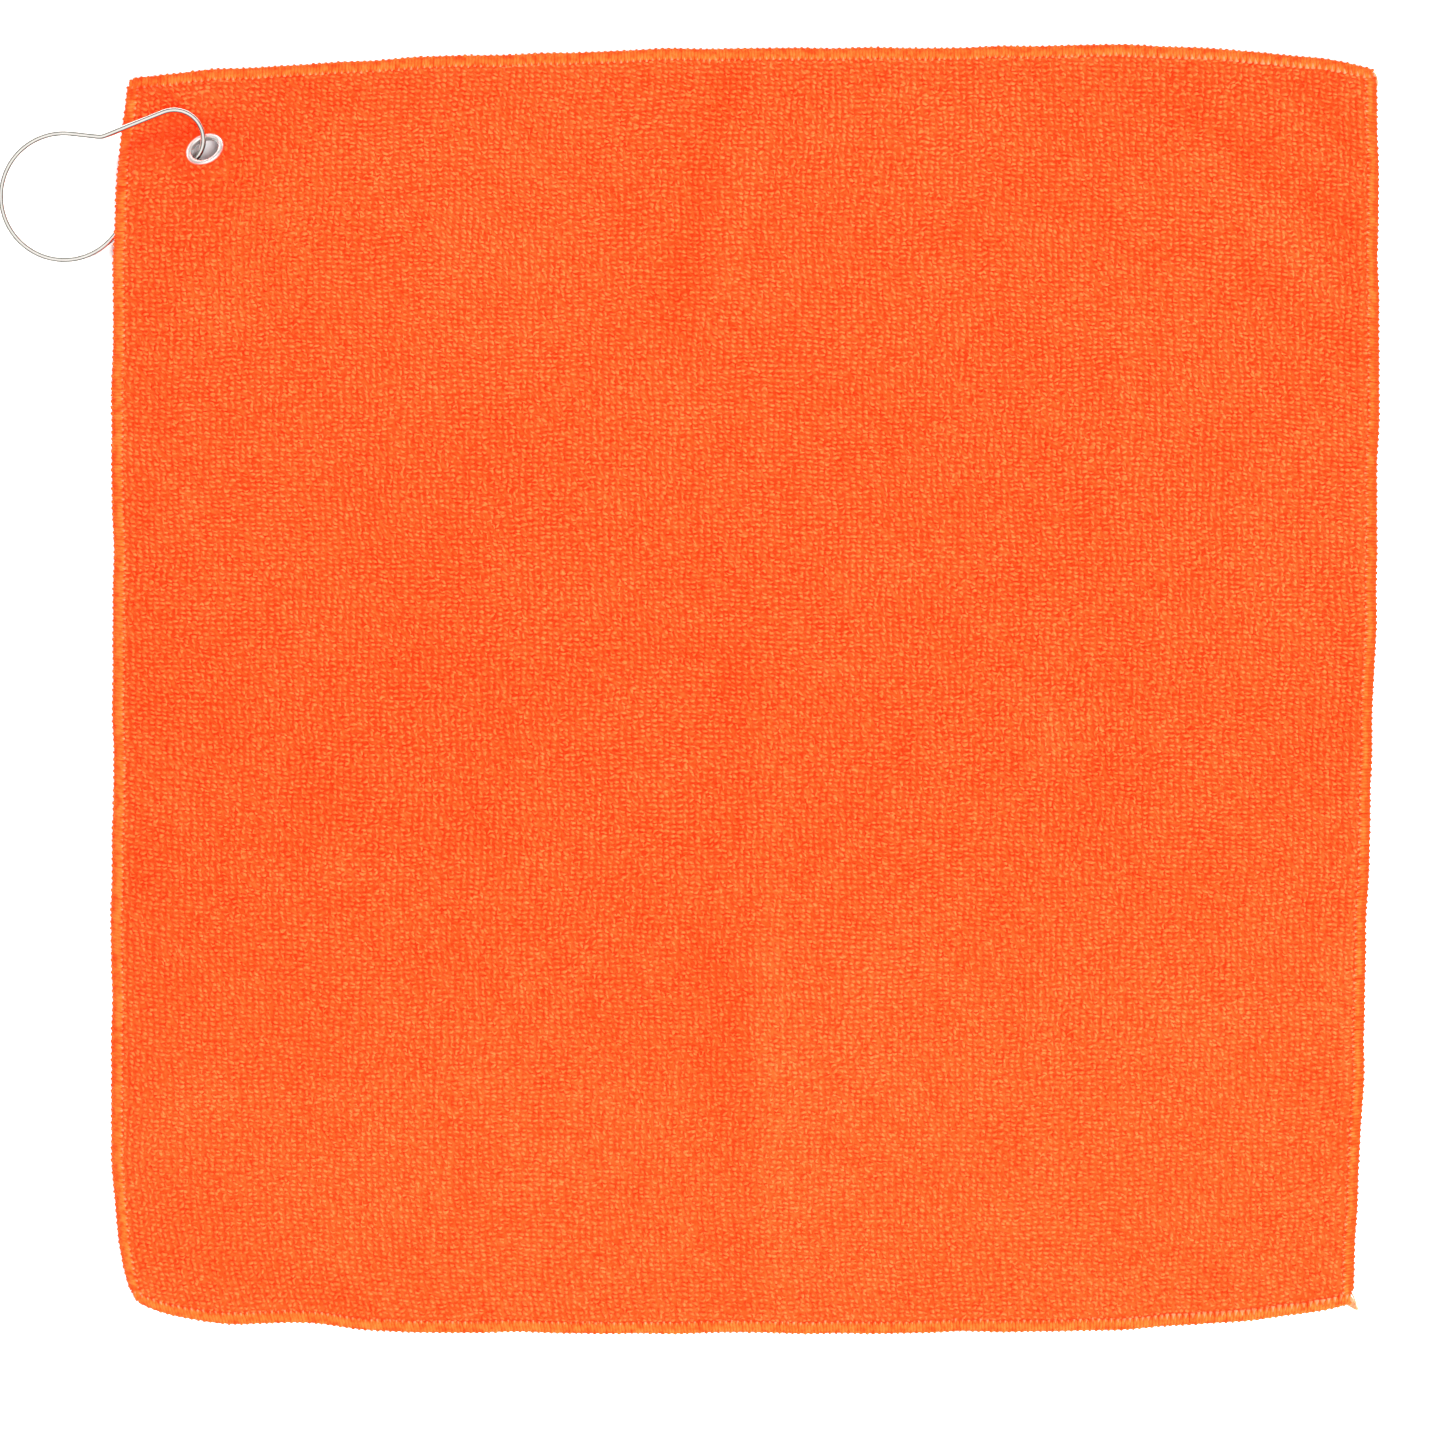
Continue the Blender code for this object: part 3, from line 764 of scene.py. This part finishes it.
def needle(name, edge, marks):
    """Needle thread: a pale stitch on the looper at the hem's inner line."""
    heels, ups = hem_points(edge, marks, 3.45 + RNG.normal(0.0, 0.12, len(marks)), 0.92)
    toes = hem_points(edge, marks + RNG.normal(0.0, 0.12, len(marks)), 2.0, 1.08)[0]
    start, end = edge_span(edge)
    share = (marks - start) / (end - start)
    strong = ease((share - 0.72) / 0.2) if edge in ("top", "bottom") else 0.0 * share
    parts = []
    for heel, toe, normal, more in zip(heels, toes, ups, strong):
        size = RNG.uniform(0.55, 1.0) * (0.85 + 0.75 * more)
        path = heel + (toe - heel) * STITCH_SHARES[:, None] * (0.75 + 0.5 * more)
        path = path + normal * (0.06 * np.sin(STITCH_SHARES * math.pi))[:, None]
        parts.append(sweep(path, normal, STITCH_WIDTHS * size, STITCH_HEIGHTS, THREAD_SIDES))
    front = hem_points(edge, marks, 3.6, 0.15)
    back = hem_points(edge, marks, 3.5, -0.70)
    parts.append(sweep(*front, 0.2, 0.2, 6))
    parts.append(sweep(*back, 0.22, 0.2, 6))
    points, faces = join(parts)
    return mesh_object(name, pressed(points), faces, NEEDLE)


def make_hem():
    """The four overlocked edges, three threads each."""
    made = []
    for edge in ("top", "bottom", "left", "right"):
        marks = stitch_marks(edge)
        for piece, node in (
            (looper(edge + "_upper_looper", edge, 1.0, marks), edge + "_upper_looper_thread"),
            (looper(edge + "_lower_looper", edge, -1.0, marks), edge + "_lower_looper_thread"),
            (needle(edge + "_needle", edge, marks), edge + "_needle_thread"),
        ):
            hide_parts(node)
            made.append(piece)
    return made


TAIL_RADIUS = 0.2


def make_tail(name, node, corner, one, other, count, spread):
    """Frayed end of the overlock chain: a fan of fine strands between two lines that leave a corner."""
    parts = []
    share = np.linspace(0.0, 1.0, 8)[:, None]
    for along in RNG.uniform(0.0, 1.0, count):
        line = corner + np.array(one) * (1.0 - along) + np.array(other) * along
        line = line + RNG.normal(0.0, spread, (3, 2))
        line = np.column_stack([line, RNG.uniform(0.7, 1.6, 3)])
        path = line[0] * (1.0 - share) ** 2 + 2.0 * line[1] * share * (1.0 - share)
        path = path + line[2] * share ** 2
        thin = TAIL_RADIUS * (1.1 - 0.6 * share[:, 0])
        parts.append(sweep(path, (0.0, 0.0, 1.0), thin, 0.8 * thin, 6))
    points, faces = join(parts)
    tail = mesh_object(name, points, faces, TAIL)
    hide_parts(node)
    return tail


# ---------------------------------------------------------------- eyelet

EYELET_BORE = 4.25
TURN_STEPS = 96


def turned(name, profile, node):
    """Ring turned round the eyelet's axis from a closed profile of (radius, height)."""
    profile = np.array(profile)
    count = len(profile)
    angle = np.arange(TURN_STEPS) * 2 * math.pi / TURN_STEPS
    points = np.stack([
        profile[None, :, 0] * np.cos(angle)[:, None],
        profile[None, :, 0] * np.sin(angle)[:, None],
        np.broadcast_to(profile[None, :, 1], (TURN_STEPS, count)),
    ], -1).reshape(-1, 3)
    i, j = np.meshgrid(np.arange(TURN_STEPS), np.arange(count), indexing="ij")
    a = i * count + j
    b = i * count + (j + 1) % count
    c = (i + 1) % TURN_STEPS * count + (j + 1) % count
    d = (i + 1) % TURN_STEPS * count + j
    faces = np.stack([a, d, c, b], -1).reshape(-1, 4)
    ring = mesh_object(name, points, faces, NICKEL)
    ring.data.transform(eyelet_frame())
    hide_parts(node)
    return ring


def curl(centre_r, centre_z, half_r, half_z, start, end, count):
    """Part of an ellipse in a ring's profile, angles in degrees."""
    angle = np.radians(np.linspace(start, end, count))
    return [(centre_r + half_r * math.cos(a), centre_z + half_z * math.sin(a)) for a in angle]


def make_eyelet():
    """Plated eyelet: a domed flange rolling into the barrel, and the washer behind the cloth."""
    front = curl(5.07, 0.45, 0.84, 0.58, -25.0, 180.0, 15)
    barrel = [(EYELET_BORE, 0.3), (EYELET_BORE, -0.55)] + curl(4.45, -0.62, 0.2, 0.33, 180.0, 300.0, 6)
    inner = [(4.62, -0.55), (4.60, 0.12), (4.75, 0.20), (5.6, 0.20)]
    flange = turned("eyelet_ring", front + barrel + inner, "grommet_eyelet")
    washer = curl(5.35, -0.60, 0.52, 0.34, 180.0, 360.0, 11) + [(5.80, -0.46), (4.9, -0.46)]
    return flange, turned("eyelet_washer", washer, "grommet_washer")


# ---------------------------------------------------------------- clip

WIRE_RADIUS = 0.85
RING_CENTRE = np.array([-202.69, 147.21])
RING_RADIUS = 18.8
CLIP_HEADING = math.radians(27.3)
CLIP_RISE_ALONG = 0.0817
CLIP_RISE_ACROSS = 0.1486
SHOULDER = np.array([18.08, 10.57, 0.0])
NOSE_CENTRE = 37.11
NOSE_RADIUS = 8.66
GUARD = np.array([18.6, -12.9, 0.0])
CATCH = np.array([[20.3, -9.4, -2.2], [20.1, -11.9, -2.2], [19.9, -12.8, -1.2], GUARD])
GATE_TIP = np.array([16.6, -SHOULDER[1] - 0.25, 0.0])
GATE_SLACK = 0.004
WIRE_SPACING = 0.35
WIRE_SIDES = 20
WIRE_END = np.array([0.35, 0.8, 0.97])


def clip_axes():
    """Directions of the clip's plane: along it, across it and out of it."""
    along = np.array([math.cos(CLIP_HEADING), math.sin(CLIP_HEADING), CLIP_RISE_ALONG])
    across = np.array([-math.sin(CLIP_HEADING), math.cos(CLIP_HEADING), CLIP_RISE_ACROSS])
    out = np.cross(along, across)
    return along, across, out / np.linalg.norm(out)


def clip_points(spots):
    """World points of points (along, across, out) of the clip's plane."""
    along, across, out = clip_axes()
    height = WIRE_RADIUS + RING_RADIUS * math.hypot(CLIP_RISE_ALONG, CLIP_RISE_ACROSS)
    centre = np.array([RING_CENTRE[0], RING_CENTRE[1], height])
    spots = np.asarray(spots, float)
    return centre + spots[:, :1] * along + spots[:, 1:2] * across + spots[:, 2:3] * out


def arc(centre, radius, start, end, count):
    """Points of an arc in the clip's plane, angles in degrees."""
    angle = np.radians(np.linspace(start, end, count + 1))
    return np.stack([centre + radius * np.cos(angle), radius * np.sin(angle), 0 * angle], -1)


def smooth_path(points, spacing, softness):
    """Even points along a line with its corners rounded."""
    points = np.asarray(points, float)
    length = np.r_[0.0, np.cumsum(np.linalg.norm(np.diff(points, axis=0), axis=1))]
    count = int(length[-1] / spacing) + 1
    even = np.linspace(0.0, length[-1], count)
    line = np.stack([np.interp(even, length, points[:, k]) for k in range(3)], -1)
    reach = max(int(3 * softness / spacing), 1)
    offsets = np.arange(-reach, reach + 1) * spacing
    weights = np.exp(-0.5 * (offsets / softness) ** 2)
    weights /= weights.sum()
    padded = np.concatenate([
        2 * line[0] - line[reach:0:-1],
        line,
        2 * line[-1] - line[-2:-reach - 2:-1],
    ])
    return np.stack([np.convolve(padded[:, k], weights, "valid") for k in range(3)], -1)


def leave_angle(spot):
    """Angle, in degrees, at which a line to a point of the clip's plane leaves the ring smoothly."""
    angle = math.atan2(abs(spot[1]), spot[0]) + math.acos(RING_RADIUS / np.linalg.norm(spot))
    return math.degrees(angle)


def make_clip():
    """Polished spring wire clip: ring, strand and nose in one piece, and the sprung back strand."""
    reach = np.array([NOSE_CENTRE, 0.0]) - SHOULDER[:2]
    heading = math.atan2(reach[1], reach[0]) + math.asin(NOSE_RADIUS / np.linalg.norm(reach))
    touch = math.degrees(heading) + 90.0
    ring = arc(0.0, RING_RADIUS, 360.0 - leave_angle(GUARD), leave_angle(SHOULDER), 80)
    nose = arc(NOSE_CENTRE, NOSE_RADIUS, touch, -touch, 40)
    line = np.concatenate([CATCH, ring, SHOULDER[None], nose])
    path = clip_points(smooth_path(line, WIRE_SPACING, 0.75))
    out = clip_axes()[2]
    radius = np.full(len(path), WIRE_RADIUS)
    radius[:3] *= WIRE_END
    wire = mesh_object("clip_wire_bent", *sweep(path, out, radius, radius, WIRE_SIDES), STEEL)
    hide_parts("clip_wire")
    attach(wire, "clip")
    foot = nose[-1]
    line = np.concatenate([nose[-4:], [foot + (GATE_TIP - foot) * 0.5, GATE_TIP]])
    path = clip_points(smooth_path(line, WIRE_SPACING, 0.5))
    radius = np.full(len(path), WIRE_RADIUS - GATE_SLACK)
    radius[-3:] *= WIRE_END[::-1]
    gate = mesh_object("clip_gate_strand", *sweep(path, out, radius, radius, WIRE_SIDES), STEEL)
    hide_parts("clip_gate")
    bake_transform(gate)


# ---------------------------------------------------------------- build

ground = make_ground()
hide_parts("towel_cloth")
loops = make_pile(1.0, bean(3, 5), 8) + make_pile(-1.0, bean(2, 4), 4)
hem = make_hem()
tails = [
    make_tail(
        "chain_end_bottom_right", "thread_tail_bottom_right", BOTTOM_RIGHT,
        ((-0.4, 2.9), (0.9, 0.9), (1.8, -1.8)), ((-1.9, -0.3), (-0.6, -1.1), (0.5, -1.5)), 30, 0.22),
    make_tail(
        "chain_end_top_right", "thread_tail_top_right", TOP_RIGHT,
        ((-0.8, -0.7), (0.9, -1.8), (0.2, -5.4)), ((-1.2, -3.2), (0.8, -4.4), (-0.7, -7.0)), 34, 0.14),
]
eyelet = make_eyelet()
make_clip()
for piece in [ground, *loops, *hem, *tails, *eyelet]:
    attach(piece, "towel")
# Painted light and shade written on the ground and the loops.
for piece in [ground, *loops]:
    paint_light_tone(piece)

# ---------------------------------------------------------------- stage, light and camera

FLOOR_HALF = 2500.0
FLOOR_DROP = 0.0002
corners = np.array([(-1.0, -1.0, 0.0), (1.0, -1.0, 0.0), (1.0, 1.0, 0.0), (-1.0, 1.0, 0.0)])
floor_material, _, floor_shader = new_material("floor")
floor = mesh_object("floor", corners * FLOOR_HALF, [(0, 1, 2, 3)], floor_material)
floor.location.z = -FLOOR_DROP
floor_shader.inputs["Base Color"].default_value = (0.93, 0.93, 0.93, 1.0)
floor_shader.inputs["Roughness"].default_value = 0.9
floor_shader.inputs["Specular IOR Level"].default_value = 0.1


def area_light(name, place_at, size, power):
    """Square softbox that looks at the towel's centre."""
    light = bpy.data.lights.new(name, "AREA")
    light.energy = power
    light.size = size
    lamp = bpy.data.objects.new(name, light)
    lamp.location = place_at
    lamp.visible_camera = False
    lamp.visible_glossy = False
    lamp.rotation_euler = (-Vector(place_at)).to_track_quat("-Z", "Y").to_euler()
    bpy.context.scene.collection.objects.link(lamp)


area_light("key_softbox", (2.3, -2.2, 1.9), 0.5, 300.0)
area_light("overhead_softbox", (0.2, -0.2, 2.3), 0.8, 48.0)
area_light("fill_softbox", (-1.4, 2.6, 2.0), 1.2, 112.0)

world = bpy.data.worlds.new("studio")
bpy.context.scene.world = world
world.use_nodes = True
backdrop = world.node_tree.nodes["Background"]
direction = world.node_tree.nodes.new("ShaderNodeTexCoord")
axes = world.node_tree.nodes.new("ShaderNodeSeparateXYZ")
world.node_tree.links.new(direction.outputs["Generated"], axes.inputs["Vector"])
studio_walls = ramp_node(world.node_tree, axes.outputs["Z"], [
    (0.0, (0.04, 0.037, 0.033)),
    (0.50, (0.07, 0.065, 0.06)),
    (0.70, (0.45, 0.45, 0.45)),
    (0.90, (1.0, 1.0, 1.0)),
])
world.node_tree.links.new(studio_walls.outputs["Color"], backdrop.inputs["Color"])
backdrop.inputs["Strength"].default_value = 1.3

camera_data = bpy.data.cameras.new("camera")
camera = bpy.data.objects.new("camera", camera_data)
bpy.context.scene.collection.objects.link(camera)
CAMERA_HEIGHT = 6.0
FRAME_WIDTH = 0.431
camera_data.lens = camera_data.sensor_width * CAMERA_HEIGHT / FRAME_WIDTH
camera_data.clip_start = 0.5
camera_data.clip_end = 20.0
camera.location = (-0.0064, -0.0095, CAMERA_HEIGHT)
bpy.context.scene.camera = camera
bpy.context.scene.view_settings.view_transform = "Standard"
